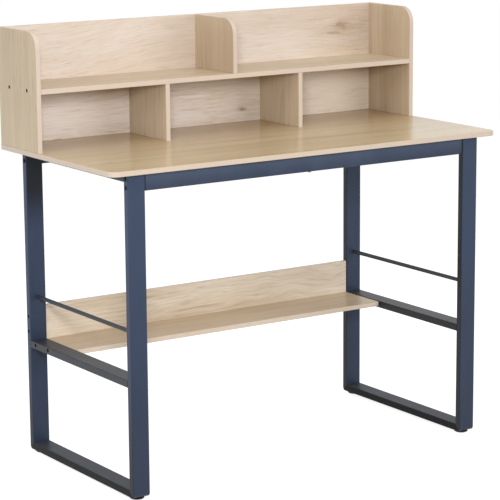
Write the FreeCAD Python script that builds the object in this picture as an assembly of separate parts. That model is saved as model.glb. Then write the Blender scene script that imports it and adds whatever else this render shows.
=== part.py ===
"""Computer desk with a low hutch: boards on two closed side frames of flat steel tube.

Millimetres, +Z up, front towards -Y. The origin is on the floor under the middle of the desk top.
"""
import FreeCAD
import Part
import math
import os

V = FreeCAD.Vector
X_AXIS = V(1, 0, 0)
Y_AXIS = V(0, 1, 0)
Z_AXIS = V(0, 0, 1)

# Desk top
top_length = 1100.0
top_depth = 525.0
top_thickness = 12.0
top_corner_radius = 22.0
desk_height = 768.0

# Hutch on the rear of the desk top
hutch_height = 282.0
hutch_depth = 187.0
panel_thickness = 12.0
back_thickness = 12.0
hutch_shelf_thickness = 12.0
divider_thickness = 12.0
panel_corner_radius = 40.0
hutch_shelf_height = 149.0
lower_divider_offset = 194.5

# All boards have a slightly eased edge
board_edge_chamfer = 0.6

# Side frames: flat tube, wide face to the front on the legs and upwards on the rails
frame_side_overhang = 50.0
frame_front_overhang = 15.0
frame_rear_overhang = 10.0
tube_width = 45.0
tube_depth = 18.0
tube_wall = 1.5
tube_edge_radius = 2.5
loop_corner_radius = 9.0
mid_rail_top = 283.0
guard_bar_height = 390.0
guard_bar_diameter = 10.0

# Beams between the side frames
beam_height = 40.0
beam_depth = 15.0
beam_wall = 1.5
beam_edge_radius = 2.0
beam_recess = 2.0
end_plate_thickness = 3.0

# Lower rear shelf and the upright board on it
low_shelf_depth = 156.0
low_shelf_thickness = 12.0
low_shelf_drop = 1.5
low_board_height = 85.0
low_board_thickness = 12.0

# Levelling glides
glide_diameter = 34.0
glide_top_diameter = 30.0
glide_height = 5.0
glide_chamfer = 1.0
glide_inset = 22.0
stud_diameter = 8.0
stud_length = 15.0
stud_clearance = 0.06
insert_diameter = 11.0
insert_flange_diameter = 16.0
insert_flange = 1.0
insert_length = 10.0

# Frame bolts, two at each beam end, reached through holes in the legs' outer faces
bolt_diameter = 6.0
bolt_head_diameter = 10.0
bolt_head_height = 5.0
bolt_reach = 12.0
bolt_spacing = 20.5
bolt_socket_across = 5.0
bolt_access_diameter = 11.0

# Screws that run through a tube into a board
tube_screw_diameter = 4.0
tube_screw_head_diameter = 8.0
tube_screw_head_height = 2.5
tube_screw_reach = 28.0
tube_screw_access_diameter = 9.0
top_screw_reach = 8.5

# Hutch screws and dowels
panel_screw_diameter = 5.0
panel_screw_head_diameter = 9.0
panel_screw_head_height = 3.0
panel_screw_reach = 35.0
panel_screw_socket_across = 4.0
base_screw_diameter = 4.0
base_screw_head_diameter = 8.0
base_screw_head_height = 3.0
base_screw_reach = 30.0
dowel_diameter = 8.0
dowel_length = 30.0
dowel_entry = 8.0

# One clearance round every fixed fastener, and one overrun for every cut
hole_clearance = 0.1
overrun = 2.0

# Places along a piece, as shares of its length
hutch_screw_shares = (0.27, 0.74)
base_screw_shares = (0.25, 0.80)
back_base_shares = (0.25, 0.75)
back_screw_shares = (0.17, 0.50, 0.83)
divider_dowel_shares = (0.25, 0.75)
back_dowel_shares = (0.25, 0.80)
low_shelf_screw_shares = (0.25, 0.65)
low_board_screw_shares = (0.27, 0.71)
top_screw_shares = (0.20, 0.80)
beam_screw_share = 0.50
socket_depth_share = 0.50

# Levels and faces that the pieces share
top_front = -top_depth / 2
top_rear = top_depth / 2
top_under = desk_height - top_thickness
hutch_top = desk_height + hutch_height
hutch_front = top_rear - hutch_depth
back_front = top_rear - back_thickness
hutch_inner = top_length / 2 - panel_thickness
shelf_top = desk_height + hutch_shelf_height
shelf_under = shelf_top - hutch_shelf_thickness
frame_front = top_front + frame_front_overhang
frame_rear = top_rear - frame_rear_overhang
frame_bottom = glide_height + insert_flange
frame_outer = top_length / 2 - frame_side_overhang
frame_inner = frame_outer - tube_width
tube_middle = frame_outer - tube_width / 2
mid_rail_under = mid_rail_top - tube_depth
leg_rear_of_front = frame_front + tube_depth
leg_front_of_rear = frame_rear - tube_depth
beam_under = top_under - beam_height
low_shelf_top = mid_rail_top - low_shelf_drop
low_shelf_under = low_shelf_top - low_shelf_thickness
low_rear = frame_rear - (tube_depth - low_board_thickness) / 2
low_front = low_rear - low_shelf_depth

SIDES = (("left", -1), ("right", 1))
ENDS = ("front", "rear")

os.makedirs("parts", exist_ok=True)


def box(low, high):
    size = high - low
    return Part.makeBox(size.x, size.y, size.z, low)


def rod(start, direction, diameter, length):
    return Part.makeCylinder(diameter / 2, length, start, direction)


def between(start, end, share):
    return start + (end - start) * share


def span(side, near, far):
    """Lower and upper X of a piece that runs from near to far on one side of the middle."""
    return min(side * near, side * far), max(side * near, side * far)


def cut(shape, tools):
    return shape.cut(Part.makeCompound(tools)) if tools else shape


def save(name, *solids):
    shape = solids[0] if len(solids) == 1 else Part.makeCompound(list(solids))
    shape.exportStep(f"parts/{name}.step")


# Boards
def edges_along(shape, direction):
    """The straight edges that run one way."""
    lines = [edge for edge in shape.Edges if isinstance(edge.Curve, Part.Line)]
    return [edge for edge in lines if abs(edge.Curve.Direction.dot(direction)) > math.cos(math.pi / 8)]


def eased(shape, across):
    """A board with the rims of its two faces slightly chamfered, where across is its thin way."""
    crossing = edges_along(shape, across)
    rims = [edge for edge in shape.Edges if not any(edge.isSame(other) for other in crossing)]
    return shape.makeChamfer(board_edge_chamfer, rims)


def board(low, high, across):
    return eased(box(low, high), across)


def rounded_board(low, high, across, radius, corners):
    """A board with round corners wherever corners(centre of the edge) is true."""
    plain = box(low, high)
    chosen = [edge for edge in edges_along(plain, across) if corners(edge.CenterOfMass)]
    return eased(plain.makeFillet(radius, chosen), across)


def front_top(centre):
    """Whether an edge lies at the upper front corner of the hutch."""
    return centre.y < (hutch_front + back_front) / 2 and centre.z > (shelf_top + hutch_top) / 2


# Fasteners
def hex_socket(seat, direction, across, depth):
    """A six-sided recess that opens at seat and runs along direction."""
    side_length = across / math.sqrt(3)
    around = X_AXIS if abs(direction.x) < math.cos(math.pi / 4) else Y_AXIS
    turn = FreeCAD.Rotation(direction, 60)
    corners = [around * side_length]
    for _ in range(6):
        corners.append(turn.multVec(corners[-1]))
    outline = Part.makePolygon([seat + corner for corner in corners])
    return Part.Face(outline).extrude(direction * depth)


def screw(seat, direction, diameter, head_diameter, head_height, reach, socket_across=0.0):
    """A screw whose head stands behind seat and whose shank runs reach along direction."""
    head = rod(seat - direction * head_height, direction, head_diameter, head_height)
    made = head.fuse(rod(seat, direction, diameter, reach)).removeSplitter()
    if socket_across:
        back = seat - direction * head_height
        made = made.cut(hex_socket(back, direction, socket_across, head_height * socket_depth_share))
    return made


def hole(start, direction, diameter, length):
    """A cut for a fastener, with clearance round it and an overrun at its start."""
    return rod(start - direction * overrun, direction, diameter + 2 * hole_clearance, length + overrun)


def beam_span(end):
    """The front and rear faces of a beam."""
    if end == "front":
        return frame_front + beam_recess, frame_front + beam_recess + beam_depth
    return frame_rear - beam_recess - beam_depth, frame_rear - beam_recess


def bolt_seats(side, end):
    """Seats of the two bolts at one end of a beam, inside the inner wall of the leg."""
    x = side * (frame_inner + tube_wall)
    y = sum(beam_span(end)) / 2
    middle = (top_under + beam_under) / 2
    return [V(x, y, middle + offset) for offset in (-bolt_spacing / 2, bolt_spacing / 2)]


def low_board_seats(side):
    """Seats of the screws that hold the upright board, inside the rear leg."""
    y = low_rear - low_board_thickness / 2
    heights = [low_shelf_top + low_board_height * share for share in low_board_screw_shares]
    return [V(side * (frame_inner + tube_wall), y, z) for z in heights]


def low_shelf_seats(side):
    """Seats of the screws that hold the lower shelf, inside the middle rail."""
    z = (low_shelf_top + low_shelf_under) / 2
    return [V(side * (frame_inner + tube_wall), between(low_rear, low_front, share), z)
            for share in low_shelf_screw_shares]


def top_seats(side):
    """Seats of the screws that hold the desk top, inside the top rail."""
    return [V(side * tube_middle, between(leg_rear_of_front, leg_front_of_rear, share), top_under - tube_wall)
            for share in top_screw_shares]


def beam_seat(end):
    """Seat of the screw that holds the desk top to a beam, against the beam's underside."""
    return V(between(-frame_inner, frame_inner, beam_screw_share), sum(beam_span(end)) / 2, beam_under)


def inward(side):
    return X_AXIS * -side


def tube_holes(seat, side, diameter, access_diameter):
    """The access hole in a tube's outer wall and the clearance hole in its inner wall."""
    way = inward(side)
    outer = V(side * frame_outer, seat.y, seat.z)
    return [rod(outer - way * overrun, way, access_diameter, tube_wall + 2 * overrun),
            hole(seat, way, diameter, tube_wall + overrun)]


def tube_tools(seats, side, diameter, access_diameter):
    return [tool for seat in seats for tool in tube_holes(seat, side, diameter, access_diameter)]


# Side frames
def loop_leg(outer_y, way, bottom, depth, radius, top, low_x, width):
    """A leg of the loop: square at the top, mitred at the bottom, rounded at the outer bottom corner."""
    def point(in_from_outer, up):
        return V(low_x, outer_y + way * in_from_outer, up)

    corner = radius * (1 - math.sqrt(0.5))
    quarter = radius * (1 - math.cos(math.pi / 8))
    rise = radius * (1 - math.sin(math.pi / 8))
    mitre = point(corner, bottom + corner)
    arc = Part.Arc(mitre, point(quarter, bottom + rise), point(0, bottom + radius))
    path = [point(0, bottom + radius), point(0, top), point(depth, top), point(depth, bottom + depth), mitre]
    edges = [Part.LineSegment(a, b).toShape() for a, b in zip(path, path[1:])]
    return Part.Face(Part.Wire([*edges, arc.toShape()])).extrude(X_AXIS * width)


def loop_foot(front, rear, bottom, depth, radius, low_x, width):
    """The foot rail of the loop, mitred at both ends and rounded at both outer corners."""
    corner = radius * (1 - math.sqrt(0.5))
    quarter = radius * (1 - math.cos(math.pi / 8))
    run = radius * (1 - math.sin(math.pi / 8))
    front_mitre = V(low_x, front + corner, bottom + corner)
    rear_mitre = V(low_x, rear - corner, bottom + corner)
    front_foot = V(low_x, front + radius, bottom)
    rear_foot = V(low_x, rear - radius, bottom)
    front_arc = Part.Arc(front_foot, V(low_x, front + run, bottom + quarter), front_mitre)
    rear_arc = Part.Arc(rear_mitre, V(low_x, rear - run, bottom + quarter), rear_foot)
    inner_front = V(low_x, front + depth, bottom + depth)
    inner_rear = V(low_x, rear - depth, bottom + depth)
    path = [front_mitre, inner_front, inner_rear, rear_mitre]
    edges = [Part.LineSegment(a, b).toShape() for a, b in zip(path, path[1:])]
    under = Part.LineSegment(rear_foot, front_foot).toShape()
    outline = Part.Wire([*edges, rear_arc.toShape(), under, front_arc.toShape()])
    return Part.Face(outline).extrude(X_AXIS * width)


def tube_edges(shape, direction):
    """The long edges of a tube: straight ones along it, and the bends at its corners."""
    bends = [edge for edge in shape.Edges if isinstance(edge.Curve, Part.Circle)]
    return edges_along(shape, direction) + bends


def hollow(outer, direction, edge_radius, inside):
    return outer.makeFillet(edge_radius, tube_edges(outer, direction)).cut(inside)


def make_leg(side, outer_y, way):
    low_x = span(side, frame_inner, frame_outer)[0]
    outer = loop_leg(outer_y, way, frame_bottom, tube_depth, loop_corner_radius, top_under, low_x, tube_width)
    inside = loop_leg(outer_y + way * tube_wall, way, frame_bottom + tube_wall, tube_depth - 2 * tube_wall,
                      loop_corner_radius - tube_wall, top_under + overrun,
                      low_x + tube_wall, tube_width - 2 * tube_wall)
    return hollow(outer, Z_AXIS, tube_edge_radius, inside)


def make_foot_rail(side):
    low_x = span(side, frame_inner, frame_outer)[0]
    outer = loop_foot(frame_front, frame_rear, frame_bottom, tube_depth, loop_corner_radius, low_x, tube_width)
    inside = loop_foot(frame_front + tube_wall, frame_rear - tube_wall, frame_bottom + tube_wall,
                       tube_depth - 2 * tube_wall, loop_corner_radius - tube_wall,
                       low_x + tube_wall, tube_width - 2 * tube_wall)
    return hollow(outer, Y_AXIS, tube_edge_radius, inside)


def square_tube(low, high, direction, wall, edge_radius):
    """A straight tube with square ends."""
    across = V(wall, wall, wall) - direction * (wall + overrun)
    return hollow(box(low, high), direction, edge_radius, box(low + across, high - across))


def make_rail(side, under):
    """A rail between the legs of one side frame."""
    low_x, high_x = span(side, frame_inner, frame_outer)
    low = V(low_x, leg_rear_of_front, under)
    high = V(high_x, leg_front_of_rear, under + tube_depth)
    return square_tube(low, high, Y_AXIS, tube_wall, tube_edge_radius)


def make_side_frame(name, side):
    front_holes = tube_tools(bolt_seats(side, "front"), side, bolt_diameter, bolt_access_diameter)
    rear_holes = tube_tools(bolt_seats(side, "rear"), side, bolt_diameter, bolt_access_diameter)
    rear_holes += tube_tools(low_board_seats(side), side, tube_screw_diameter, tube_screw_access_diameter)
    mid_holes = tube_tools(low_shelf_seats(side), side, tube_screw_diameter, tube_screw_access_diameter)
    top_holes = [hole(seat, Z_AXIS, tube_screw_diameter, tube_wall + overrun) for seat in top_seats(side)]
    top_holes += [rod(V(seat.x, seat.y, top_under - tube_depth - overrun), Z_AXIS, tube_screw_access_diameter,
                      tube_wall + 2 * overrun) for seat in top_seats(side)]
    foot_holes = [hole(centre, Z_AXIS, insert_diameter, tube_wall + overrun)
                  for centre in glide_places(side).values()]
    save(f"{name}_front_leg", cut(make_leg(side, frame_front, 1), front_holes))
    save(f"{name}_rear_leg", cut(make_leg(side, frame_rear, -1), rear_holes))
    save(f"{name}_foot_rail", cut(make_foot_rail(side), foot_holes))
    save(f"{name}_top_rail", cut(make_rail(side, top_under - tube_depth), top_holes))
    save(f"{name}_mid_rail", cut(make_rail(side, mid_rail_under), mid_holes))
    bar_start = V(side * tube_middle, leg_rear_of_front, guard_bar_height)
    bar_length = leg_front_of_rear - leg_rear_of_front
    save(f"{name}_guard_bar", rod(bar_start, Y_AXIS, guard_bar_diameter, bar_length))


# Beams
def make_beam(end):
    front, rear = beam_span(end)
    low = V(-frame_inner, front, beam_under)
    high = V(frame_inner, rear, top_under)
    tube = square_tube(low, high, X_AXIS, beam_wall, beam_edge_radius)
    return tube.cut(hole(beam_seat(end), Z_AXIS, tube_screw_diameter, beam_height + overrun))


def make_end_plate(end, side):
    """A tapped plate inside one end of a beam."""
    front, rear = beam_span(end)
    low_x, high_x = span(side, frame_inner - end_plate_thickness, frame_inner)
    low = V(low_x, front + beam_wall, beam_under + beam_wall)
    high = V(high_x, rear - beam_wall, top_under - beam_wall)
    reach = end_plate_thickness + tube_wall + overrun
    holes = [hole(seat, inward(side), bolt_diameter, reach) for seat in bolt_seats(side, end)]
    return cut(box(low, high), holes)


# Glides
def glide_places(side):
    x = side * tube_middle
    return {"front": V(x, frame_front + glide_inset, frame_bottom),
            "rear": V(x, frame_rear - glide_inset, frame_bottom)}


def make_glide(centre):
    """A turned pad on a threaded stud, screwed up to its stop under the insert."""
    stud_top = glide_height + stud_length
    outline = [V(0, 0, 0), V(glide_diameter / 2 - glide_chamfer, 0, 0), V(glide_diameter / 2, 0, glide_chamfer),
               V(glide_top_diameter / 2, 0, glide_height), V(stud_diameter / 2, 0, glide_height),
               V(stud_diameter / 2, 0, stud_top), V(0, 0, stud_top), V(0, 0, 0)]
    turned = Part.Face(Part.makePolygon(outline)).revolve(V(), Z_AXIS, 360)
    return turned.translated(V(centre.x, centre.y, 0))


def make_insert(centre):
    """The threaded insert that carries a glide, set into the foot rail from below."""
    flange = rod(centre - Z_AXIS * insert_flange, Z_AXIS, insert_flange_diameter, insert_flange)
    body = flange.fuse(rod(centre, Z_AXIS, insert_diameter, insert_length)).removeSplitter()
    bore = rod(centre - Z_AXIS * (insert_flange + overrun), Z_AXIS, stud_diameter + 2 * stud_clearance,
               insert_flange + insert_length + 2 * overrun)
    return body.cut(bore)


# Hutch places
def hutch_screw_seats(side):
    """Where the screws through a side panel leave their heads, level with the shelf's middle."""
    x = side * (top_length / 2 - panel_screw_head_height)
    z = (shelf_top + shelf_under) / 2
    return [V(x, between(top_rear, hutch_front, share), z) for share in hutch_screw_shares]


def base_seats():
    """Where the screws from below leave their heads: under both side panels and the back panel."""
    z = top_under + base_screw_head_height
    panel_x = top_length / 2 - panel_thickness / 2
    places = [V(side * panel_x, between(top_rear, hutch_front, share), z)
              for _, side in SIDES for share in base_screw_shares]
    back_y = top_rear - back_thickness / 2
    return places + [V(between(-hutch_inner, hutch_inner, share), back_y, z) for share in back_base_shares]


def back_seats():
    """Where the screws through the back panel leave their heads, on the shelf's middle line."""
    y = top_rear - base_screw_head_height
    z = (shelf_top + shelf_under) / 2
    return [V(between(-hutch_inner, hutch_inner, share), y, z) for share in back_screw_shares]


def dowels_up(x, foot):
    """Start points of the upright dowels of one divider, sunk below the face at height foot."""
    z = foot - dowel_entry
    return [V(x, between(back_front, hutch_front, share), z) for share in divider_dowel_shares]


def dowels_down(x, head):
    """Start points of the dowels at the top of a lower divider, which enter the shelf above."""
    return [start + Z_AXIS * (2 * dowel_entry - dowel_length) for start in dowels_up(x, head)]


def back_dowels(side):
    """Start points of the dowels between the back panel and one side panel, towards the panel."""
    x = side * (hutch_inner + dowel_entry - dowel_length)
    y = top_rear - back_thickness / 2
    return [V(x, y, between(desk_height, hutch_top, share)) for share in back_dowel_shares]


def dowel_holes(starts, direction=Z_AXIS):
    return [rod(start - direction * hole_clearance, direction, dowel_diameter + 2 * hole_clearance,
                dowel_length + 2 * hole_clearance) for start in starts]


def screw_tools(seats, direction, diameter, head_diameter, head_height, reach):
    """Cuts for a row of screws whose heads are let in flush."""
    shanks = [hole(seat, direction, diameter, reach + hole_clearance) for seat in seats]
    heads = [hole(seat - direction * head_height, direction, head_diameter, head_height) for seat in seats]
    return shanks + heads


lower_dividers = (("left", -lower_divider_offset), ("right", lower_divider_offset))
lower_dowels = [start for _, x in lower_dividers
                for start in dowels_up(x, desk_height) + dowels_down(x, shelf_under)]
upper_dowels = dowels_up(0, shelf_top)
base_tools = screw_tools(base_seats(), Z_AXIS, base_screw_diameter, base_screw_head_diameter,
                         base_screw_head_height, base_screw_reach + top_thickness)
back_tools = screw_tools(back_seats(), -Y_AXIS, base_screw_diameter, base_screw_head_diameter,
                         base_screw_head_height, base_screw_reach + back_thickness)
base_reach = top_thickness - base_screw_head_height + base_screw_reach
back_reach = back_thickness - base_screw_head_height + base_screw_reach
panel_reach = panel_thickness - panel_screw_head_height + panel_screw_reach


def panel_tools(side):
    return screw_tools(hutch_screw_seats(side), inward(side), panel_screw_diameter, panel_screw_head_diameter,
                       panel_screw_head_height, panel_screw_reach + panel_thickness)


# Desk top
top = rounded_board(V(-top_length / 2, top_front, top_under), V(top_length / 2, top_rear, desk_height),
                    Z_AXIS, top_corner_radius, lambda centre: centre.y < 0)
top_screw_tools = [hole(seat, Z_AXIS, tube_screw_diameter, tube_wall + top_screw_reach + hole_clearance)
                   for _, side in SIDES for seat in top_seats(side)]
beam_screw_reach = beam_height + top_screw_reach
top_screw_tools += [hole(beam_seat(end), Z_AXIS, tube_screw_diameter, beam_screw_reach + hole_clearance)
                    for end in ENDS]
save("desk_top", cut(top, base_tools + top_screw_tools + dowel_holes(lower_dowels)))

# Hutch boards
for name, side in SIDES:
    low_x, high_x = span(side, hutch_inner, top_length / 2)
    panel = rounded_board(V(low_x, hutch_front, desk_height), V(high_x, top_rear, hutch_top),
                          X_AXIS, panel_corner_radius, front_top)
    fixings = panel_tools(side) + base_tools + dowel_holes(back_dowels(side), -inward(side))
    save(f"hutch_{name}_panel", cut(panel, fixings))

back_panel = board(V(-hutch_inner, back_front, desk_height), V(hutch_inner, top_rear, hutch_top), Y_AXIS)
side_dowel_holes = [tool for _, side in SIDES for tool in dowel_holes(back_dowels(side), -inward(side))]
save("hutch_back_panel", cut(back_panel, base_tools + back_tools + side_dowel_holes))

shelf = board(V(-hutch_inner, hutch_front, shelf_under), V(hutch_inner, back_front, shelf_top), Z_AXIS)
shelf_tools = [tool for _, side in SIDES for tool in panel_tools(side)]
save("hutch_shelf", cut(shelf, shelf_tools + back_tools + dowel_holes(lower_dowels + upper_dowels)))

for name, x in lower_dividers:
    divider = board(V(x - divider_thickness / 2, hutch_front, desk_height),
                    V(x + divider_thickness / 2, back_front, shelf_under), X_AXIS)
    save(f"hutch_lower_divider_{name}", cut(divider, dowel_holes(lower_dowels)))

upper_divider = rounded_board(V(-divider_thickness / 2, hutch_front, shelf_top),
                              V(divider_thickness / 2, back_front, hutch_top),
                              X_AXIS, panel_corner_radius, front_top)
save("hutch_upper_divider", cut(upper_divider, dowel_holes(upper_dowels)))

# Side frames and beams
for name, side in SIDES:
    make_side_frame(name, side)
for end in ENDS:
    save(f"{end}_beam", make_beam(end))
save("beam_end_plates", *[make_end_plate(end, side) for end in ENDS for _, side in SIDES])

# Lower rear shelf
low_shelf = board(V(-frame_inner, low_front, low_shelf_under),
                  V(frame_inner, low_rear, low_shelf_top), Z_AXIS)
low_reach = tube_wall + tube_screw_reach
low_shelf_holes = [hole(seat, inward(side), tube_screw_diameter, low_reach + hole_clearance)
                   for _, side in SIDES for seat in low_shelf_seats(side)]
save("lower_shelf", cut(low_shelf, low_shelf_holes))
low_board = board(V(-frame_inner, low_rear - low_board_thickness, low_shelf_top),
                  V(frame_inner, low_rear, low_shelf_top + low_board_height), Y_AXIS)
low_board_holes = [hole(seat, inward(side), tube_screw_diameter, low_reach + hole_clearance)
                   for _, side in SIDES for seat in low_board_seats(side)]
save("lower_shelf_back_board", cut(low_board, low_board_holes))

# Glides and their inserts
for name, side in SIDES:
    for end, centre in glide_places(side).items():
        save(f"glide_{end}_{name}", make_glide(centre))
save("glide_inserts", *[make_insert(centre) for _, side in SIDES for centre in glide_places(side).values()])

# Fasteners, each kind in one group
save("frame_bolts", *[screw(seat, inward(side), bolt_diameter, bolt_head_diameter, bolt_head_height,
                            bolt_reach, bolt_socket_across)
                      for _, side in SIDES for end in ENDS for seat in bolt_seats(side, end)])
save("lower_shelf_screws", *[screw(seat, inward(side), tube_screw_diameter, tube_screw_head_diameter,
                                   tube_screw_head_height, low_reach)
                             for _, side in SIDES for seat in low_shelf_seats(side)])
save("back_board_screws", *[screw(seat, inward(side), tube_screw_diameter, tube_screw_head_diameter,
                                  tube_screw_head_height, low_reach)
                            for _, side in SIDES for seat in low_board_seats(side)])
rail_screws = [screw(seat, Z_AXIS, tube_screw_diameter, tube_screw_head_diameter,
                     tube_screw_head_height, tube_wall + top_screw_reach)
               for _, side in SIDES for seat in top_seats(side)]
beam_screws = [screw(beam_seat(end), Z_AXIS, tube_screw_diameter, tube_screw_head_diameter,
                     tube_screw_head_height, beam_screw_reach) for end in ENDS]
save("top_fixing_screws", *rail_screws, *beam_screws)
save("hutch_shelf_screws", *[screw(seat, inward(side), panel_screw_diameter, panel_screw_head_diameter,
                                   panel_screw_head_height, panel_reach, panel_screw_socket_across)
                             for _, side in SIDES for seat in hutch_screw_seats(side)])
save("hutch_base_screws", *[screw(seat, Z_AXIS, base_screw_diameter, base_screw_head_diameter,
                                  base_screw_head_height, base_reach) for seat in base_seats()])
save("hutch_back_screws", *[screw(seat, -Y_AXIS, base_screw_diameter, base_screw_head_diameter,
                                  base_screw_head_height, back_reach) for seat in back_seats()])
save("divider_dowels", *[rod(start, Z_AXIS, dowel_diameter, dowel_length)
                         for start in lower_dowels + upper_dowels])
save("back_panel_dowels", *[rod(start, -inward(side), dowel_diameter, dowel_length)
                            for _, side in SIDES for start in back_dowels(side)])
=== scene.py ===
# %% [markdown]
# # A computer desk with a low hutch
#
# The desk is ten oak-look boards on two closed loops of flat steel tube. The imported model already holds
# every board and tube at its true size, so it is loaded first and kept as the frame. What is left to do
# here is the looks: the camera, the light, the printed wood grain, the powder coat and the small
# fixings that are too fine for the frame.

# %% The frame
import math

import bmesh
import bpy
from mathutils import Matrix, Vector


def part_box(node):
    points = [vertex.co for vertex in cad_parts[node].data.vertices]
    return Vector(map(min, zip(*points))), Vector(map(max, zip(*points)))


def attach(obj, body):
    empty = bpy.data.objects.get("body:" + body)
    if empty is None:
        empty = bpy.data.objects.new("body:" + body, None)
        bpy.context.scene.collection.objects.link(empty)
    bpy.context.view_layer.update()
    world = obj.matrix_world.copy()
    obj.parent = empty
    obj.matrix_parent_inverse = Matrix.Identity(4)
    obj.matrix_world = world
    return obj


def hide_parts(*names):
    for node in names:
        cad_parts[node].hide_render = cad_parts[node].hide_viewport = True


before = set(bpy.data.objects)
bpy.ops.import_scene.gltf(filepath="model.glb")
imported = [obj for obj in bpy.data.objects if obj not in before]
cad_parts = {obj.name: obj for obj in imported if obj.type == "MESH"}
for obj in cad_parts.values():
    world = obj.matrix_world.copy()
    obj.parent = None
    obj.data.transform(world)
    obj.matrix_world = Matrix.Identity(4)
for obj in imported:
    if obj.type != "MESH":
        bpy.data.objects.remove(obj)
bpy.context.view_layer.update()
scene = bpy.context.scene
scene.view_settings.view_transform = "Standard"

# %% [markdown]
# ## Where the camera stands
#
# The desk is seen from its front left, a little above the work surface, through a long lens. The place
# and the angles below were fitted to the corners of the boards and the feet of the frame. A camera could
# be aimed with a constraint, but three angles turned into a matrix stay exact and are easy to read.

# %% Camera
CAMERA_PLACE = (-2.8606, -4.2926, 1.5253)
CAMERA_YAW, CAMERA_PITCH, CAMERA_ROLL = 33.574, -11.367, -0.427
SENSOR = 36.0
LENS_SHARE = 2139.05 / 500


def camera_axes(yaw, pitch, roll):
    """The camera's right, up and back directions for a view along +Y that is turned by three angles."""
    yaw, pitch, roll = (math.radians(angle) for angle in (yaw, pitch, roll))
    forward = Vector((math.sin(yaw) * math.cos(pitch), math.cos(yaw) * math.cos(pitch), math.sin(pitch)))
    level = Vector((math.cos(yaw), -math.sin(yaw), 0))
    upright = level.cross(forward)
    right = level * math.cos(roll) + upright * math.sin(roll)
    up = upright * math.cos(roll) - level * math.sin(roll)
    return right, up, -forward


lens = bpy.data.cameras.new("desk_camera")
lens.sensor_width = SENSOR
lens.lens = SENSOR * LENS_SHARE
camera = bpy.data.objects.new("desk_camera", lens)
turn = Matrix(camera_axes(CAMERA_YAW, CAMERA_PITCH, CAMERA_ROLL)).transposed().to_4x4()
camera.matrix_world = Matrix.Translation(CAMERA_PLACE) @ turn
scene.collection.objects.link(camera)
scene.camera = camera
print("camera: focal length", round(lens.lens, 1), "mm")

# %% [markdown]
# ## Writing node trees as sums
#
# Materials and repeated pieces are both made of nodes. Placing nodes one by one hides the idea behind
# them, so one small class wraps a socket and lets Python's own operators add the Math nodes.


# %% Wires
class Wire:
    """An output socket that can be added, multiplied and compared; each step adds a Math node."""

    def __init__(self, graph, socket):
        self.graph = graph
        self.socket = socket

    def out(self, name):
        """Another output of the same node."""
        return Wire(self.graph, self.socket.node.outputs[name])

    def math(self, operation, *others):
        """A Math node with this wire on its first socket."""
        return self.graph.node("ShaderNodeMath", {"operation": operation}, dict(enumerate((self, *others))))

    def __add__(self, other):
        return self.math("ADD", other)

    def __sub__(self, other):
        return self.math("SUBTRACT", other)

    def __mul__(self, other):
        return self.math("MULTIPLY", other)

    def __truediv__(self, other):
        return self.math("DIVIDE", other)

    def __rsub__(self, other):
        return self * -1.0 + other

    def __abs__(self):
        return self.math("ABSOLUTE")

    __radd__ = __add__
    __rmul__ = __mul__

    def step(self, low, high):
        """0 below low, 1 above high, and a smooth rise between."""
        return self.graph.node("ShaderNodeMapRange", {"interpolation_type": "SMOOTHSTEP"},
                               {"Value": self, "From Min": low, "From Max": high})


print("wires ready")

# %% [markdown]
# A second class holds the tree. It has one method for every kind of node, and a few more for what each
# material here needs: a mix of colours, noise, a point's own coordinates, and the shader at the end.


# %% Graphs
class Graph:
    """A node tree that is filled from Python."""

    def __init__(self, tree):
        self.tree = tree
        tree.nodes.clear()

    def node(self, kind, settings=None, sockets=None, out=0):
        """Add a node: its type, its settings, then the values or links of its sockets."""
        made = self.tree.nodes.new(kind)
        for name, value in (settings or {}).items():
            setattr(made, name, value)
        for name, value in (sockets or {}).items():
            for one in value if isinstance(value, list) else [value]:
                if isinstance(one, Wire):
                    self.tree.links.new(one.socket, made.inputs[name])
                else:
                    made.inputs[name].default_value = one
        return Wire(self, made.outputs[out]) if made.outputs else None

    def mix(self, base, top, share):
        """One colour laid over another."""
        return self.node("ShaderNodeMix", {"data_type": "RGBA"}, {0: share, 6: base, 7: top}, out=2)

    def noise(self, x, y, z, detail=2.0, roughness=0.5):
        """Smooth noise, centred on zero, of a point given by its three coordinates."""
        point = self.node("ShaderNodeCombineXYZ", {}, {0: x, 1: y, 2: z})
        return self.node("ShaderNodeTexNoise", {},
                         {"Vector": point, "Scale": 1.0, "Detail": detail, "Roughness": roughness}) - 0.5

    def place(self, axes="XYZ"):
        """A point's own coordinates on its object, in the order of the letters."""
        point = self.node("ShaderNodeTexCoord", out="Object")
        split = self.node("ShaderNodeSeparateXYZ", {}, {0: point})
        return [split.out(axis) for axis in axes]

    def surface(self, skin, roughness, relief, relief_strength, relief_depth, constants=None):
        """End a material: a shader with a colour, a roughness, a bump and constants for other sockets."""
        bump = self.node("ShaderNodeBump", {}, {
            "Strength": relief_strength, "Distance": relief_depth, "Height": relief})
        shader = self.node("ShaderNodeBsdfPrincipled", {}, {
            "Base Color": skin, "Roughness": roughness, "Normal": bump, **(constants or {})})
        self.node("ShaderNodeOutputMaterial", {}, {"Surface": shader})


print("graphs ready")

# %% [markdown]
# Colours are written as screen values, which are easy to compare with a picture of the desk, and turned
# into the linear light that shaders work with.


# %% Colours and materials
def colour(red, green, blue):
    """A colour from the usual 0 to 255 screen values, as the linear light that a shader wants."""
    shares = [value / 255 for value in (red, green, blue)]
    return tuple(s / 12.92 if s <= 0.04045 else ((s + 0.055) / 1.055) ** 2.4 for s in shares) + (1.0,)


def grey(level):
    """A plain grey, given as linear light."""
    return (level, level, level, 1.0)


def material(name):
    """An empty material and its graph."""
    made = bpy.data.materials.new(name)
    made.use_nodes = True
    return made, Graph(made.node_tree)


print("a middle grey on the screen is", round(colour(128, 128, 128)[0], 2), "of full light")

# %% [markdown]
# ## The studio
#
# The desk stands on a pale floor in front of white. Shiny faces should mirror that white as well, so the
# world and the floor look at the Light Path node: rays from the camera and mirrored rays see white, and all
# other rays see a plain level of light.

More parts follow.
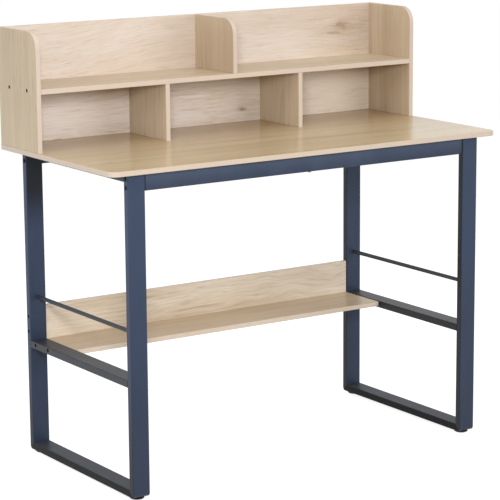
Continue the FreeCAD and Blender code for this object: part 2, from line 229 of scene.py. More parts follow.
# %% World
AMBIENT = 0.475
WHITE = grey(1.0)


def seen_directly(graph):
    """1 for a camera, mirrored or see-through ray."""
    path = graph.node("ShaderNodeLightPath")
    mirrored = path.out("Is Glossy Ray").math("MAXIMUM", path.out("Is Transmission Ray"))
    return path.out("Is Camera Ray").math("MAXIMUM", mirrored)


world = bpy.data.worlds.new("white_studio")
world.use_nodes = True
scene.world = world
sky = Graph(world.node_tree)
strength = AMBIENT + seen_directly(sky) * (1 - AMBIENT)
light = sky.node("ShaderNodeBackground", {}, {"Color": WHITE, "Strength": strength})
sky.node("ShaderNodeOutputWorld", {}, {"Surface": light})
print("world: level of light", AMBIENT)

# %% [markdown]
# The floor keeps a part of its own shading, which holds the soft shadow under the feet, and glows for the
# rest. To all other rays it is a plain grey, so that it doesn't throw too much light up at the desk.

# %% Floor
FLOOR_SIZE = 60.0
FLOOR_SHADE_SHARE, FLOOR_GLOW, FLOOR_BOUNCE = 0.35, 0.84, 0.30

floor_paint, graph = material("pale_floor")
plain = graph.node("ShaderNodeBsdfDiffuse", {}, {"Color": grey(FLOOR_BOUNCE)})
shaded = graph.node("ShaderNodeBsdfDiffuse", {}, {"Color": grey(FLOOR_SHADE_SHARE)})
glow = graph.node("ShaderNodeEmission", {}, {"Color": WHITE, "Strength": FLOOR_GLOW})
white = graph.node("ShaderNodeAddShader", {}, {0: shaded, 1: glow})
shown = graph.node("ShaderNodeMixShader", {}, {0: seen_directly(graph), 1: plain, 2: white})
graph.node("ShaderNodeOutputMaterial", {}, {"Surface": shown})

bpy.ops.mesh.primitive_plane_add(size=FLOOR_SIZE)
floor = bpy.context.object
floor.name = "floor"
floor.data.materials.append(floor_paint)
print("floor:", FLOOR_SIZE, "m wide")

# %% [markdown]
# A small soft box beside the camera draws the short shadow under the hutch's shelf, and five larger ones
# fill in from the other sides. The satin work surface would mirror them as white patches in views from
# the sides and the back, so mirrored rays don't see them, only the white room.

# %% Lamps
LAMPS = {  # name: place and size in metres, power in watts
    "camera_softbox": ((-1.80, -2.57, 1.58), 0.5, 49.0),
    "right_softbox": ((1.57, -2.71, 1.40), 1.4, 26.0),
    "left_softbox": ((-2.96, -0.52, 1.79), 1.6, 24.0),
    "top_softbox": ((0.0, -0.90, 3.50), 2.0, 22.0),
    "back_softbox": ((-1.20, 3.00, 1.50), 1.6, 24.0),
    "far_softbox": ((2.60, 0.60, 0.85), 1.4, 18.0),
}
LAMP_TARGET = Vector((0, 0, 0.8))

for name, (place, size, watts) in LAMPS.items():
    lamp = bpy.data.lights.new(name, "AREA")
    lamp.size = size
    lamp.energy = watts
    holder = bpy.data.objects.new(name, lamp)
    holder.location = place
    holder.rotation_euler = (LAMP_TARGET - holder.location).to_track_quat("-Z", "Y").to_euler()
    holder.visible_glossy = False
    scene.collection.objects.link(holder)
print("lamps:", len(LAMPS), "soft boxes")

# %% [markdown]
# ## Oak-look laminate
#
# The boards are chipboard under a printed oak paper. The print shows soft bands, thin lines that wander
# across the board, short dark pores, a few knots and the arched lines of a plain-sawn plank. All of them
# are noise that is stretched along the grain, so a point is first given by its place along the grain,
# across it and through the board.

# %% Places on a board
LAYER_SCALE = 9.0


class Grain:
    """A point's place on a board whose axes are named along, across and through the grain."""

    def __init__(self, graph, axes, seed):
        self.graph = graph
        self.along, self.across, self.through = graph.place(axes)
        self.layer = self.through * LAYER_SCALE + seed

    def noise(self, scales, offset=0.0, across=None, detail=2.0, roughness=0.5):
        """Noise with so many swings a metre along the grain and across it; offset picks another pattern."""
        across = self.across if across is None else across
        layer = self.layer + offset
        return self.graph.noise(self.along * scales[0], across * scales[1], layer, detail, roughness)


print("grain: one swing of noise through the board is", round(1000 / LAYER_SCALE), "mm")

# %% [markdown]
# ### Lines that bend
#
# The lines wander slowly. On one board they climb, and on another they curl at one end. All of that is
# done by moving the place across the board at which the lines are looked up. Knots push the lines aside
# in the same way, and each has a ragged dark core.

# %% Bent lines and knots
WANDER, QUIVER_SHARE = 0.03, 0.2
LEAN_BLUR = 0.01
KNOT_RAGGED, KNOT_PUSH = 0.9, 0.6


def bent_lines(grain, lean, swirl):
    """The place across the board at which the lines at a point are looked up."""
    bent = grain.across + grain.noise((1.2, 2.6), detail=1.0) * WANDER
    bent = bent + grain.noise((6.0, 9.0), 5.3) * (WANDER * QUIVER_SHARE)
    if lean:
        start, end, rise, above = lean
        bent = bent - grain.along.step(start, end) * grain.across.step(above - LEAN_BLUR, above) * rise
    if swirl:
        start, end, reach = swirl
        bent = bent + grain.noise((8.0, 11.0), 3.1, detail=1.0) * grain.along.step(start, end) * reach
    return bent


def knots(grain, bent, marks):
    """The darkest knot at each point, if there are any, and the lines pushed aside by all of them."""
    darkest = None
    for mark_along, mark_across, half_length, half_height, strength in marks:
        off_centre = grain.across - mark_across
        du = (grain.along - mark_along) / half_length + grain.noise((60.0, 90.0)) * KNOT_RAGGED
        dv = off_centre / half_height + grain.noise((50.0, 160.0), 2.0) * KNOT_RAGGED
        nearness = ((du * du + dv * dv) * -1.0).math("EXPONENT")
        bent = bent - off_centre * nearness * KNOT_PUSH
        core = nearness * strength
        darkest = core if darkest is None else darkest.math("MAXIMUM", core)
    return darkest, bent


print("lines wander by up to", WANDER * 500, "mm to each side")

# %% [markdown]
# ### Arches and edges
#
# An arch is what a flat cut through a cone of year rings looks like, so the rings are measured from a
# line below the board, and slow noise along the grain swells and narrows the cone. The narrow edges carry
# a paler strip. They are told from the faces by how far a point lies from the board's middle plane.

# %% Arches and edges
BOARD = 0.012
EDGE_MARGIN = 0.0007


def plank_arches(grain, bent, centre, depth, swell, spacing):
    """The dark late wood of each year ring, which comes and goes in patches: 0 to 1."""
    off_axis = bent - centre
    cone = (off_axis * off_axis + depth ** 2).math("SQRT")
    cone = cone + grain.noise((3.2, 5.0), 3.7, roughness=0.4) * swell
    phase = (cone / spacing).math("FRACT")
    late_wood = phase.step(0.45, 0.92) - phase.step(0.92, 1.0)
    return late_wood * grain.noise((3.4, 9.0), 8.1).step(-0.08, 0.16)


def edge_share(grain, middles):
    """1 on the narrow edges of the boards with these middle planes, 0 on their faces."""
    depth = None
    for plane in middles:
        gap = abs(grain.through - plane)
        depth = gap if depth is None else depth.math("MINIMUM", gap)
    rim = BOARD / 2 - EDGE_MARGIN
    return 1.0 - depth.step(rim - EDGE_MARGIN / 2, rim + EDGE_MARGIN / 2)


print("boards:", BOARD * 1000, "mm thick")

# %% [markdown]
# ### The whole print
#
# The layers are added up to a tone between a pale and a deep shade of oak. Pores, veins and knots are
# printed over it in their own browns, and the same fine lines vary the shine and a shallow relief.

# %% Laminate
# The second cream is painted light, mixed in where a board should look more lit.
EDGE_CREAM, PAINTED_LIGHT_CREAM = colour(208, 191, 177), colour(244, 232, 216)
KNOT_BROWN, PORE_BROWN = colour(132, 96, 64), colour(132, 102, 74)
MEAN_TONE, DEEPEST_TONE, MEAN_ARCH = 0.42, 1.2, 0.12
PORE_SHARE, VEIN_SHARE = 0.42, 0.36
PRINT_RELIEF, PRINT_DEPTH = 0.12, 0.0004


def oak(name, axes, middles, pale, deep, flame, marks=(), lean=None, swirl=None, fade=None, bleach=None,
        fineness=1.0, dash=1.0, lines_share=1.0, edge=EDGE_CREAM, gloss=0.36, seed=0.0):
    """A laminate for the boards with these middle planes; axes name the ways along, across and through.

    flame: the arches' centre across, depth below the board, swell, spacing and strength
    marks: each knot's place along and across, half length, half height and strength
    lean: where along the board the lines climb, by how much, and above which place across it
    swirl: where along the board the lines begin to curl, and how far
    fade: where across the board painted shade deepens the print, and by which share
    bleach: where along the board painted light makes the rest paler, and by which share
    fineness narrows the lines, dash shortens them, and gloss is the roughness of the faces
    """
    finish, graph = material(name)
    grain = Grain(graph, axes, seed)
    knot, bent = knots(grain, bent_lines(grain, lean, swirl), marks)

    patches = grain.noise((3.0, 4.0), 7.7, detail=1.0)
    broad = grain.noise((1.2 * dash, 14.0), 0.0, bent)
    bands = grain.noise((3.0 * dash, 70.0 * fineness), 1.9, bent)
    lines = grain.noise((6.0 * dash, 230.0 * fineness), 2.3, bent, roughness=0.6)
    fine = grain.noise((14.0 * dash, 430.0), 4.1, bent, detail=1.0)
    pore_places = grain.noise((2.4, 7.0), 9.1).step(-0.10, 0.16)
    pores = grain.noise((20.0, 340.0), 6.7, bent, detail=1.0).step(0.12, 0.26) * pore_places
    veins = lines.step(0.12, 0.30)

    *arch_form, arch_strength = flame
    arches = (plank_arches(grain, bent, *arch_form) - MEAN_ARCH) * arch_strength
    drawn = (bands * 0.6 + lines * 1.1 + fine * 0.5) * lines_share
    tone = MEAN_TONE + patches * 0.9 + broad + drawn + arches
    face = graph.mix(pale, deep, tone.math("MAXIMUM", 0.0).math("MINIMUM", DEEPEST_TONE))
    # Painted shade deepens part of the board; painted light mixes the rest towards a pale cream.
    if fade:
        start, end, share = fade
        in_painted_shade = grain.across.step(start, end)
        face = graph.mix(face, deep, in_painted_shade * share)
        if bleach:
            start, end, share = bleach
            face = graph.mix(face, PAINTED_LIGHT_CREAM, grain.along.step(start, end) * (1.0 - in_painted_shade) * share)
    face = graph.mix(face, PORE_BROWN, pores * PORE_SHARE + veins * (VEIN_SHARE * lines_share))
    if knot:
        face = graph.mix(face, KNOT_BROWN, knot * (0.8 + lines * 2.0))

    on_edge = edge_share(grain, middles)
    strip = graph.mix(edge, pale, fine * 0.8 + bands * 0.5 + 0.15)
    roughness = gloss + bands * 0.10 + fine * 0.05 + on_edge * 0.12
    graph.surface(graph.mix(face, strip, on_edge), roughness, fine - pores, PRINT_RELIEF, PRINT_DEPTH)
    return finish


print("laminate ready")

# %% [markdown]
# ## Dressing the boards
#
# Each board is cut from its own stretch of the print, so each gets its own seed, shade and marks. Boards
# that lie flat or stand along the desk have their grain along X, and the uprights have theirs along Z.


# %% Cutting the print
def middle_plane(node, axis):
    """The middle of a CAD node along one axis."""
    low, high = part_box(node)
    return (low[axis] + high[axis]) / 2


def dress(finish, *nodes):
    """Give CAD nodes a finish in all their material slots."""
    for node in nodes:
        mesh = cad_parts[node].data
        mesh.materials.clear()
        mesh.materials.append(finish)
    print(finish.name, "on", *nodes)


def cut_boards(name, nodes, axes, pale, deep, flame, **details):
    """Dress boards in a stretch of the print, with the two shades given as screen colours."""
    middles = [middle_plane(node, "XYZ".index(axes[2])) for node in nodes]
    dress(oak(name, axes, middles, colour(*pale), colour(*deep), flame, **details), *nodes)


print("ready to cut")

# %% [markdown]
# The work surface is the glossiest: it mirrors the white room softly at its far end. The hutch's back has
# the clearest knots, and its lines climb to the right above the shelf.

# %% Lying boards and backs
# Painted shade deepens the top towards the hutch.
cut_boards("oak_desk_top", ["desk_top"], "XYZ", (217, 197, 162), (181, 155, 117),
           (-0.05, 0.05, 0.06, 0.022, 0.15),
           marks=[(-0.02, -0.02, 0.12, 0.006, 0.42), (0.22, -0.10, 0.13, 0.006, 0.46)],
           fade=(-0.12, 0.16, 0.88), dash=0.6, lines_share=0.5, gloss=0.23, seed=1.0)
# Painted shade deepens the back above the shelf, and painted light makes its lower right paler.
cut_boards("oak_hutch_back", ["hutch_back_panel"], "XZY", (232, 223, 217), (199, 178, 154),
           (0.90, 0.03, 0.06, 0.012, 0.20),
           marks=[(0.448, 0.996, 0.028, 0.012, 0.80), (0.425, 0.978, 0.034, 0.006, 0.50),
                  (0.462, 0.985, 0.075, 0.034, 0.20), (0.133, 0.800, 0.011, 0.005, 0.90)],
           lean=(-0.45, -0.05, 0.042, 0.912), fade=(0.86, 0.95, 0.36), bleach=(0.0, 0.50, 0.55),
           fineness=1.3, dash=2.8, lines_share=0.85, seed=2.0)
cut_boards("oak_hutch_shelf", ["hutch_shelf"], "XYZ", (215, 197, 172), (184, 162, 133),
           (0.10, 0.04, 0.08, 0.018, 0.10), dash=0.8, seed=3.0)
cut_boards("oak_lower_shelf", ["lower_shelf"], "XYZ", (214, 193, 166), (184, 160, 130),
           (0.15, 0.05, 0.08, 0.018, 0.10), dash=0.8, edge=colour(232, 213, 194), seed=5.0)
cut_boards("oak_lower_back", ["lower_shelf_back_board"], "XZY", (240, 228, 211), (199, 179, 152),
           (0.30, 0.010, 0.03, 0.008, 0.28),
           marks=[(-0.055, 0.318, 0.035, 0.006, 0.28), (0.015, 0.352, 0.040, 0.005, 0.32)],
           swirl=(0.06, 0.24, 0.05), dash=1.8, lines_share=0.85, seed=6.0)

# %% [markdown]
# The five uprights share one design of fine, short lines. They wear it in three shades, so a table of what
# differs and one loop are enough. The shades are partly set to how bright each upright stands in the light,
# so they hold some painted light and shade.

# %% Uprights
UPRIGHTS = (
    ("oak_left_side", ["hutch_left_panel"], (208, 190, 162), (174, 152, 123), 0.5, 4.0),
    ("oak_uprights", ["hutch_right_panel", "hutch_upper_divider"],
     (201, 182, 157), (167, 145, 119), 0.65, 4.4),
    ("oak_lower_dividers", ["hutch_lower_divider_left", "hutch_lower_divider_right"],
     (211, 194, 170), (171, 151, 126), 0.7, 7.1),
)
for name, nodes, pale, deep, lines_share, seed in UPRIGHTS:
    cut_boards(name, nodes, "ZYX", pale, deep, (0.15, 0.03, 0.06, 0.016, 0.4 * lines_share),
               fineness=1.6, dash=0.8, lines_share=lines_share, seed=seed)

# %% [markdown]
# ## Blue-grey powder coat
#
# The tubes are sprayed with powder and baked. Little light reaches some of their sides: the inner sides of
# the loops, the outer sides near the floor, and the fronts of the rear legs right under the top, the left
# one more than the right. In a white room they would still look too pale, so painted shade darkens them in
# the coat's colour, at places found from a point's own coordinates. A dark line of painted shade also
# stands for the gap between each beam and its legs.

# %% Painted shade on the frame
OUTER, INNER = (-corner[0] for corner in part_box("left_front_leg"))
REAR_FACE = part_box("left_rear_leg")[0][1]
SIDE_SKIN, GAP_SHADE_WIDTH = 0.0012, 0.004
LOW_SHADE, HIGH_SHADE = (0.04, 0.26), (0.55, 0.67)
LEFT_TO_RIGHT, RIGHT_RELIEF = (-0.4, 0.4), 0.7


def loop_side_shade(x, y, z):
    """Painted shade: 1 on the loops' inner sides, low on their outer sides and high on the rear legs'
    fronts.
    """
    inner = 1.0 - abs(x).step(INNER, INNER + SIDE_SKIN)
    outer = abs(x).step(OUTER - SIDE_SKIN, OUTER)
    rear_front = y.step(REAR_FACE - SIDE_SKIN, REAR_FACE) - y.step(REAR_FACE, REAR_FACE + SIDE_SKIN)
    under_top = z.step(*HIGH_SHADE) * (1.0 - x.step(*LEFT_TO_RIGHT) * RIGHT_RELIEF)
    return inner + outer * (1.0 - z.step(*LOW_SHADE)) + rear_front * under_top


def beam_gap_shade(x, y, z):
    """1 in the painted shade of the gaps between a beam and its legs."""
    return abs(x).step(INNER - GAP_SHADE_WIDTH, INNER - GAP_SHADE_WIDTH / 2)


print("loops: tubes", round((OUTER - INNER) * 1000), "mm wide")

# %% [markdown]
# The baked powder is a satin skin with a fine orange-peel relief of tenths of a millimetre, which goes
# into a Bump node. Two sizes of noise keep the colour and the shine from being the same everywhere. Painted
# shade deepens the legs towards the floor and the beams towards their lower edge, and the rails are closer
# to charcoal.

# %% Frame finish
SHADE, SHADE_SHARE = colour(9, 10, 12), 0.9
DEEP_BLUE = colour(40, 49, 67)
PEEL_SCALE, PEEL_RELIEF, PEEL_DEPTH = 900.0, 0.15, 0.0002


def powder_coat(name, pale, deep, middle=0.4, slope=0.9, shine=0.3, shaded=loop_side_shade):
    """Painted shade on the coat: deeper by slope a metre below its middle height, near black where shaded.
    """
    finish, graph = material(name)
    x, y, z = graph.place()
    peel = graph.noise(x * PEEL_SCALE, y * PEEL_SCALE, z * PEEL_SCALE)
    cloud = graph.noise(x * 14.0, y * 14.0, z * 6.0, 3.0)
    skin = graph.mix(pale, deep, 0.5 + cloud * 0.6 + peel * 0.2 - (z - middle) * slope)
    skin = graph.mix(skin, SHADE, shaded(x, y, z) * SHADE_SHARE)
    roughness = 0.44 + peel * 0.08 + cloud * 0.06
    graph.surface(skin, roughness, peel, PEEL_RELIEF, PEEL_DEPTH, {"Specular IOR Level": shine})
    return finish


def of_both_loops(*pieces):
    """The CAD nodes of pieces that both loops have."""
    return [f"{side}_{piece}" for side in ("left", "right") for piece in pieces]


legs = powder_coat("powder_coat", colour(58, 71, 96), DEEP_BLUE)
beams = powder_coat("powder_coat_beam", colour(78, 90, 112), DEEP_BLUE, middle_plane("front_beam", 2), 18.0,
                    shaded=beam_gap_shade)
rails = powder_coat("powder_coat_rails", colour(55, 59, 66), colour(47, 50, 56))
foot_rails = powder_coat("powder_coat_feet", colour(66, 70, 77), colour(56, 60, 66), shine=0.1)
dress(legs, *of_both_loops("front_leg", "rear_leg", "top_rail"), "beam_end_plates")
dress(beams, "front_beam", "rear_beam")
dress(rails, *of_both_loops("mid_rail", "guard_bar"))
dress(foot_rails, *of_both_loops("foot_rail"))

# %% [markdown]
# ## Small finishes
#
# Bolts and wood screws are zinc plated, then dulled, and the screws in the hutch's side panels are bronzed
# so that they show as dark dots on the wood. Plating is never even, so its shade and shine follow two
# sizes of noise. The feet are moulded plastic with a sparkle texture, and the dowels are raw beech.

# %% Fixing finishes
GRIT_SCALE, GRIT_RELIEF = 9.0, 0.3


def speckled(name, dark, light, scale, metallic, roughness, relief_depth):
    """A finish with cloudy colour, uneven shine and a grainy relief."""
    finish, graph = material(name)
    x, y, z = (axis * scale for axis in graph.place())
    cloud = graph.noise(x, y, z, 3.0, 0.6)
    grit = graph.noise(x * GRIT_SCALE, y * GRIT_SCALE, z * GRIT_SCALE)
    skin = graph.mix(dark, light, 0.5 + cloud * 1.6 + grit * 0.5)
    uneven = roughness + cloud * 0.2 + grit * 0.1
    graph.surface(skin, uneven, grit, GRIT_RELIEF, relief_depth, {"Metallic": metallic})
    return finish


zinc = speckled("dull_zinc", colour(86, 88, 92), colour(128, 130, 134), 160.0, 1.0, 0.38, 0.00003)
bronze = speckled("bronzed_steel", colour(52, 38, 28), colour(84, 64, 48), 300.0, 0.6, 0.48, 0.00004)
plastic = speckled("foot_plastic", colour(20, 20, 22), colour(34, 34, 37), 220.0, 0.0, 0.52, 0.00008)
beech = speckled("raw_beech", colour(206, 172, 128), colour(226, 196, 154), 240.0, 0.0, 0.62, 0.00006)
dress(beech, "divider_dowels", "back_panel_dowels")
dress(zinc, "glide_inserts")

# %% [markdown]
# ## Trees that turn and thread
#
# Every screw and foot is turned round an axis and most carry a thread. Geometry Nodes can turn a form by
# sweeping a ring along a line whose radius changes, and a thread is a small triangle swept along a spiral.
# Both are short functions that add nodes to whichever tree calls them, and the tree's named inputs carry
# the sizes.


# %% Opening and closing a tree
def new_tree(name, sizes):
    """A Geometry Nodes tree with named sizes: the tree, its graph and a wire for each input."""
    tree = bpy.data.node_groups.new(name, "GeometryNodeTree")
    tree.interface.new_socket("Seats", in_out="INPUT", socket_type="NodeSocketGeometry")
    for size in sizes:
        tree.interface.new_socket(size, in_out="INPUT", socket_type="NodeSocketFloat")
    tree.interface.new_socket("Finish", in_out="INPUT", socket_type="NodeSocketMaterial")
    tree.interface.new_socket("Pieces", in_out="OUTPUT", socket_type="NodeSocketGeometry")
    graph = Graph(tree)
    first = graph.node("NodeGroupInput")
    return tree, graph, {name: first.out(name) for name in ("Seats", *sizes, "Finish")}


def close_tree(graph, pieces, finish):
    """End a tree the way the export wants it: real mesh with its finish on."""
    real = graph.node("GeometryNodeRealizeInstances", {}, {"Geometry": pieces})
    done = graph.node("GeometryNodeSetMaterial", {}, {"Geometry": real, "Material": finish})
    graph.node("NodeGroupOutput", {}, {"Pieces": done})


print("trees can be opened and closed")

# %% Turning and threading
RIDGE_SHARE, CORE_DEPTH = 0.32, 1.5
TIP_SHARE, TIP_LENGTH = 0.45, 0.12
THREAD_START, THREAD_LENGTH = 0.10, 0.88


def upright(graph, bottom, top):
    """A line on the Z axis."""
    start, end = (graph.node("ShaderNodeCombineXYZ", {}, {2: height}) for height in (bottom, top))
    return graph.node("GeometryNodeCurvePrimitiveLine", {}, {"Start": start, "End": end})


def sweep(graph, path, outline, scale=1.0):
    """An outline carried along a path, with its ends closed."""
    return graph.node("GeometryNodeCurveToMesh", {}, {
        "Curve": path, "Profile Curve": outline, "Scale": scale, "Fill Caps": True})


def turned(graph, bottom, top, radius, steps=9, sides=32):
    """A form turned on the Z axis; radius gives a wire from the share of the height."""
    line = upright(graph, bottom, top)
    path = graph.node("GeometryNodeResampleCurve", {}, {"Curve": line, "Count": steps})
    ring = graph.node("GeometryNodeCurvePrimitiveCircle", {}, {"Resolution": sides, "Radius": 1.0})
    return sweep(graph, path, ring, radius(graph.node("GeometryNodeSplineParameter")))


def threaded(graph, bottom, top, radius, pitch):
    """A core with a narrow tip and a spiral ridge whose crest is at the radius."""
    height, ridge = top - bottom, pitch * RIDGE_SHARE

    def core_radius(share):
        return (radius - ridge * CORE_DEPTH) * (TIP_SHARE + share.step(0.0, TIP_LENGTH) * (1 - TIP_SHARE))

    core = turned(graph, bottom, top, core_radius)
    coil = graph.node("GeometryNodeCurveSpiral", {}, {
        "Resolution": 14, "Rotations": height / pitch * THREAD_LENGTH, "Start Radius": radius - ridge,
        "End Radius": radius - ridge, "Height": height * THREAD_LENGTH})
    triangle = graph.node("GeometryNodeCurvePrimitiveCircle", {}, {"Resolution": 3, "Radius": ridge})
    lift = graph.node("ShaderNodeCombineXYZ", {}, {2: bottom + height * THREAD_START})
    thread = graph.node("GeometryNodeTransform", {}, {
        "Geometry": sweep(graph, coil, triangle), "Translation": lift})
    return graph.node("GeometryNodeJoinGeometry", {}, {"Geometry": [core, thread]})


print("a thread covers", THREAD_LENGTH, "of its shank")

# %% [markdown]
# ### From a tree to a piece
#
# A tree runs once over a mesh of seats, and its result is kept as a plain mesh. The piece made of it then
# rides on its body in place of the frame's node.


# %% Growing and placing
def grown(seats, tree, sizes, finish):
    """Run a tree over a mesh of seats and return a plain mesh; the tree's inputs are set by identifier."""
    holder = bpy.data.objects.new("seats", seats)
    scene.collection.objects.link(holder)
    modifier = holder.modifiers.new("tree", "NODES")
    modifier.node_group = tree
    values = {**sizes, "Finish": finish}
    for item in tree.interface.items_tree:
        if item.in_out == "INPUT" and item.name in values:
            modifier[item.identifier] = values[item.name]
    mesh = bpy.data.meshes.new_from_object(holder.evaluated_get(bpy.context.evaluated_depsgraph_get()))
    holder.modifiers.remove(modifier)
    bpy.data.objects.remove(holder)
    mesh.materials.clear()
    mesh.materials.append(finish)
    mesh.polygons.foreach_set("material_index", [0] * len(mesh.polygons))
    return mesh


def stand_in(name, mesh, body, node):
    """Put a finer piece on a body in place of a CAD node."""
    piece = bpy.data.objects.new(name, mesh)
    scene.collection.objects.link(piece)
    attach(piece, body)
    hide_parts(node)
    print(name, "with", len(mesh.polygons), "faces for", node)


print("ready to grow")

# %% [markdown]
# ## Screws and bolts
#
# The frame holds each fastener as a plain turned form. One tree grows a head with a recess, a core and a
# thread at every seat. A recess with three equal pairs of corners is a hex socket, and one with four long
# points is a cross, so both come from the same star.

# %% The screw tree
SCREW_SIZES = ("Head Radius", "Head Height", "Shank Radius", "Length", "Pitch",
               "Recess Points", "Recess Radius", "Recess Waist", "Recess Depth")
screw_tree, graph, size = new_tree("screw", SCREW_SIZES)


def head_radius(share):
    """A head with a rounded upper rim."""
    return size["Head Radius"] * (1.0 - share.step(0.62, 1.05) * 0.16)


head = turned(graph, size["Head Height"] * -1.0, 0.0, head_radius, steps=14)
star = graph.node("GeometryNodeCurveStar", {}, {
    "Points": size["Recess Points"], "Inner Radius": size["Recess Waist"],
    "Outer Radius": size["Recess Radius"]})
cutter = sweep(graph, upright(graph, size["Recess Depth"] * -1.0, size["Recess Depth"]), star)
head = graph.node("GeometryNodeMeshBoolean", {"operation": "DIFFERENCE"}, {"Mesh 1": head, "Mesh 2": cutter})
shank = threaded(graph, size["Length"] * -1.0, size["Head Height"] * -0.9, size["Shank Radius"],
                 size["Pitch"])
screw = graph.node("GeometryNodeJoinGeometry", {}, {"Geometry": [head, shank]})
way = graph.node("GeometryNodeInputNamedAttribute", {"data_type": "FLOAT_VECTOR"}, {"Name": "way"})
aim = graph.node("FunctionNodeAlignRotationToVector", {"axis": "Z"}, {"Vector": way})
screws = graph.node("GeometryNodeInstanceOnPoints", {}, {
    "Points": size["Seats"], "Instance": screw, "Rotation": aim})
close_tree(graph, screws, size["Finish"])
print("screw tree:", len(screw_tree.nodes), "nodes")

# %% [markdown]
# ### Reading the seats
#
# The place, direction and sizes of a fastener are read from its form in the frame: its long side is the
# axis, and the wider end is the head.

# %% Seats in the frame
SAME_POINT, SAME_SIZE = 1e-6, 1e-5


def solids(node):
    """The corner points of each separate solid in a CAD node."""
    copy = bmesh.new()
    copy.from_mesh(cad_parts[node].data)
    bmesh.ops.remove_doubles(copy, verts=copy.verts, dist=SAME_POINT)
    waiting, found = set(copy.verts), []
    for first in copy.verts:
        if first not in waiting:
            continue
        waiting.remove(first)
        front, group = [first], []
        while front:
            corner = front.pop()
            group.append(corner.co.copy())
            near = {edge.other_vert(corner) for edge in corner.link_edges} & waiting
            waiting -= near
            front.extend(near)
        found.append(group)
    copy.free()
    return found


def turned_sizes(points):
    """Where a turned form's wide end is, which way that end faces, and its radii and lengths."""
    low, high = (Vector(pick(point[axis] for point in points) for axis in range(3)) for pick in (min, max))
    axis = max(range(3), key=lambda side: high[side] - low[side])
    middle, length = (low + high) / 2, high[axis] - low[axis]

    def off_axis(point):
        return math.dist(point[:axis] + point[axis + 1:], middle[:axis] + middle[axis + 1:])

    reach = [(point[axis] - low[axis], off_axis(point)) for point in points]
    wide = max(radius for _, radius in reach)
    head_up = max(radius for height, radius in reach if height > length / 2) > wide - SAME_SIZE
    from_head = [(length - height if head_up else height, radius) for height, radius in reach]
    way = Vector([float(side == axis) * (1 if head_up else -1) for side in range(3)])
    head_height = max(height for height, radius in from_head if radius > wide - SAME_SIZE)
    shank = max(radius for height, radius in from_head if height > length - SAME_SIZE)
    return middle + way * length / 2, way, wide, head_height, shank, length


print("bolt sizes:", [round(value * 1000, 1) for value in turned_sizes(solids("frame_bolts")[0])[2:]])

# %% [markdown]
# ### Growing them
#
# Each kind of fastener keeps its own recess, thread and finish. Screws of one kind may differ in length,
# so they are grown in groups of equal sizes and gathered into one mesh that stands for the frame's node.

# %% Fasteners
HEX, CROSS = (3, 1.0), (4, 0.42)
FASTENERS = {  # node: points and waist of the recess, its radius, pitch of the thread, finish
    "frame_bolts": (HEX, 0.0029, 0.0010, zinc),
    "lower_shelf_screws": (CROSS, 0.0024, 0.0014, zinc),
    "back_board_screws": (CROSS, 0.0024, 0.0014, zinc),
    "top_fixing_screws": (CROSS, 0.0024, 0.0014, zinc),
    "hutch_base_screws": (CROSS, 0.0024, 0.0014, zinc),
    "hutch_back_screws": (CROSS, 0.0024, 0.0014, zinc),
    "hutch_shelf_screws": (HEX, 0.0023, 0.0016, bronze),
}
SEAT_DIGITS, RECESS_SHARE = 5, 0.6


def seat_groups(node):
    """The places and directions of a node's fasteners, gathered by their sizes."""
    groups = {}
    for solid in solids(node):
        place, way, *sizes = turned_sizes(solid)
        groups.setdefault(tuple(round(value, SEAT_DIGITS) for value in sizes), []).append((place, way))
    return groups


def seat_mesh(name, seats):
    """A mesh of loose points, each with the direction of its head."""
    mesh = bpy.data.meshes.new(name)
    mesh.from_pydata([place for place, _ in seats], [], [])
    ways = mesh.attributes.new("way", "FLOAT_VECTOR", "POINT")
    ways.data.foreach_set("vector", [value for _, way in seats for value in way])
    return mesh


for node, ((points, waist), recess, pitch, finish) in FASTENERS.items():
    gathered = bmesh.new()
    for (wide, head_height, shank, length), seats in seat_groups(node).items():
        gathered.from_mesh(grown(seat_mesh(node, seats), screw_tree, {
            "Head Radius": wide, "Head Height": head_height, "Shank Radius": shank, "Length": length,
            "Pitch": pitch, "Recess Points": float(points), "Recess Radius": recess,
            "Recess Waist": recess * waist, "Recess Depth": head_height * RECESS_SHARE}, finish))
    mesh = bpy.data.meshes.new(node + "_threaded")
    gathered.to_mesh(mesh)
    gathered.free()
    mesh.materials.append(finish)
    stand_in(node + "_threaded", mesh, "desk", node)

# %% [markdown]
# ## Levelling feet
#
# Under each corner a plastic pad turns on a threaded stud to level the desk. Fingers grip its rim, so the
# rim is ribbed. The tree turns the pad, sets a rib at each point of a ring and threads the stud.

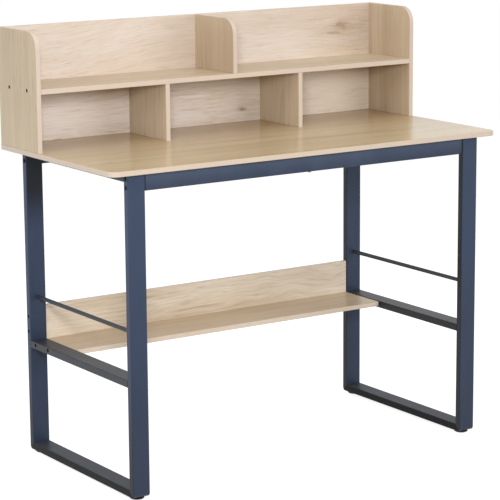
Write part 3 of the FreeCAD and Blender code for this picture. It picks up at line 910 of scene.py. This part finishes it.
# %% The foot tree
FOOT_SIZES = ("Pad Radius", "Pad Height", "Rib Count", "Rib Radius", "Stud Radius", "Stud Length", "Pitch")
RIB_FULLNESS = 0.8
foot_tree, graph, size = new_tree("levelling_foot", FOOT_SIZES)
crest = size["Rib Radius"] * RIB_FULLNESS
pad_top, rim = size["Pad Height"], size["Pad Radius"] - crest


def pad_radius(share):
    """A rim that flares out from the floor and rounds over at its top."""
    return rim * (0.86 + share.step(-0.1, 0.45) * 0.14 - share.step(0.72, 1.1) * 0.10)


def rib_radius(share):
    """A rib that thins at both ends."""
    return crest * (share.step(-0.3, 0.25) - share.step(0.75, 1.3))


pad = turned(graph, 0.0, pad_top, pad_radius, steps=16, sides=64)
ring = graph.node("GeometryNodeCurvePrimitiveCircle", {}, {"Resolution": size["Rib Count"], "Radius": rim})
rib = turned(graph, pad_top * 0.30, pad_top * 0.84, rib_radius, steps=7, sides=10)
ribs = graph.node("GeometryNodeInstanceOnPoints", {}, {"Points": ring, "Instance": rib})
stud = threaded(graph, pad_top * 0.8, pad_top + size["Stud Length"], size["Stud Radius"], size["Pitch"])
foot = graph.node("GeometryNodeJoinGeometry", {}, {"Geometry": [pad, ribs, stud]})
feet = graph.node("GeometryNodeInstanceOnPoints", {}, {"Points": size["Seats"], "Instance": foot})
close_tree(graph, feet, size["Finish"])
print("foot tree:", len(foot_tree.nodes), "nodes")

# %% [markdown]
# The tree runs once for each foot, because each foot is a body that turns by itself.

# %% Feet
STUD_RADIUS, STUD_LENGTH, STUD_PITCH = 0.004, 0.015, 0.00125
RIB_COUNT, RIB_RADIUS = 40.0, 0.0011
for end in ("front", "rear"):
    for side in ("left", "right"):
        low, high = (Vector(corner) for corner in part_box(f"glide_{end}_{side}"))
        seat = bpy.data.meshes.new("foot_seat")
        seat.from_pydata([((low.x + high.x) / 2, (low.y + high.y) / 2, low.z)], [], [])
        mesh = grown(seat, foot_tree, {
            "Pad Radius": (high.x - low.x) / 2, "Pad Height": high.z - low.z - STUD_LENGTH,
            "Rib Count": RIB_COUNT, "Rib Radius": RIB_RADIUS, "Stud Radius": STUD_RADIUS,
            "Stud Length": STUD_LENGTH, "Pitch": STUD_PITCH}, plastic)
        stand_in(f"{end}_{side}_levelling_foot", mesh, f"{end}_{side}_foot", f"glide_{end}_{side}")
